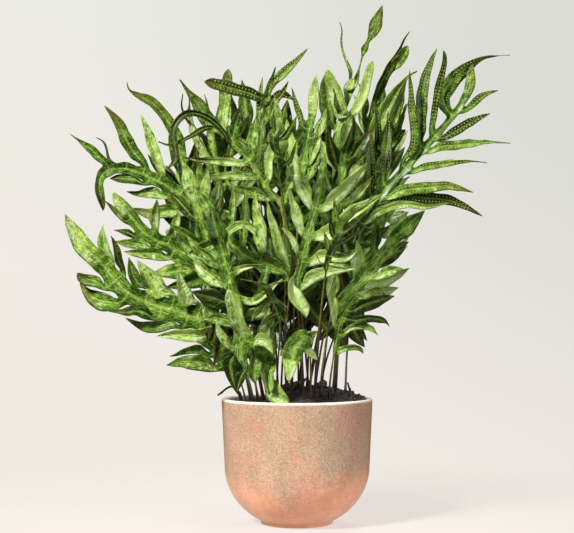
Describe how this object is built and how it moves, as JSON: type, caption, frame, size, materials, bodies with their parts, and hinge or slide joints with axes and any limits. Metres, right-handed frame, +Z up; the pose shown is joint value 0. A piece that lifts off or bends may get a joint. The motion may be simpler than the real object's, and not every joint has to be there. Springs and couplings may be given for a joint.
{
  "type": "potted kangaroo paw fern",
  "caption": "Fern with glossy, deeply lobed leathery fronds on thin stalks, growing from creeping stems in a round-bottomed speckled glazed pot filled with dark soil.",
  "frame": {"origin": "middle of the pot's flat foot, on the surface it stands on", "axes": "+Z up; the front of the plant, with the low left and low right fronds on either side, faces -Y; +X to the right seen from the front"},
  "size_m": [0.535, 0.4873, 0.6174],
  "materials": {
    "speckled_glaze": "satin beige glaze with fine dark and pale speckles, salmon towards the foot, cream lip",
    "peat_mix": "coarse, nearly black peat and bark mix",
    "rhizome_scale": "dark brown scaly creeping stem",
    "dry_stalk": "dry, dark, matt stalk",
    "fern_leaf": "glossy, leathery mid green leaf with paler midribs and margins and brown tips"
  },
  "bodies": {
    "root": {"pot": "speckled_glaze", "soil": "peat_mix", "rhizome_middle": "rhizome_scale", "rhizome_right": "rhizome_scale", "old_stalk_left": "dry_stalk", "old_stalk_middle": "dry_stalk", "old_stalk_right": "dry_stalk", "frond_centre_right": "fern_leaf", "frond_small_front": "fern_leaf", "frond_low_right": "fern_leaf", "frond_broad_right": "fern_leaf", "frond_right_fertile": "fern_leaf", "frond_right_inner": "fern_leaf", "frond_top_centre": "fern_leaf", "frond_upper_right": "fern_leaf", "frond_upper_centre": "fern_leaf", "frond_centre_left": "fern_leaf", "frond_left_front": "fern_leaf", "frond_left_skirt": "fern_leaf", "frond_low_left": "fern_leaf", "frond_mid_left": "fern_leaf", "frond_golden_rib": "fern_leaf", "frond_upper_left": "fern_leaf", "frond_top_left": "fern_leaf", "frond_left_high": "fern_leaf", "frond_front_strap": "fern_leaf", "frond_left_curled": "fern_leaf", "frond_inner_left": "fern_leaf", "frond_inner_right": "fern_leaf", "frond_inner_far_left": "fern_leaf", "frond_inner_far_right": "fern_leaf", "frond_inner_back": "fern_leaf", "frond_back_left": "fern_leaf", "frond_back_right": "fern_leaf", "frond_back_middle": "fern_leaf", "frond_back_low_left": "fern_leaf", "frond_back_low_right": "fern_leaf", "frond_back_low": "fern_leaf", "frond_back_tall": "fern_leaf", "frond_back_tall_right": "fern_leaf", "frond_side_left": "fern_leaf", "frond_side_right": "fern_leaf", "frond_left_between": "fern_leaf", "frond_left_behind": "fern_leaf", "frond_middle": "fern_leaf", "frond_right_between": "fern_leaf", "frond_right_behind": "fern_leaf", "frond_forward_left": "fern_leaf", "frond_forward_right": "fern_leaf", "frond_forward_high": "fern_leaf"}
  },
  "joints": []
}
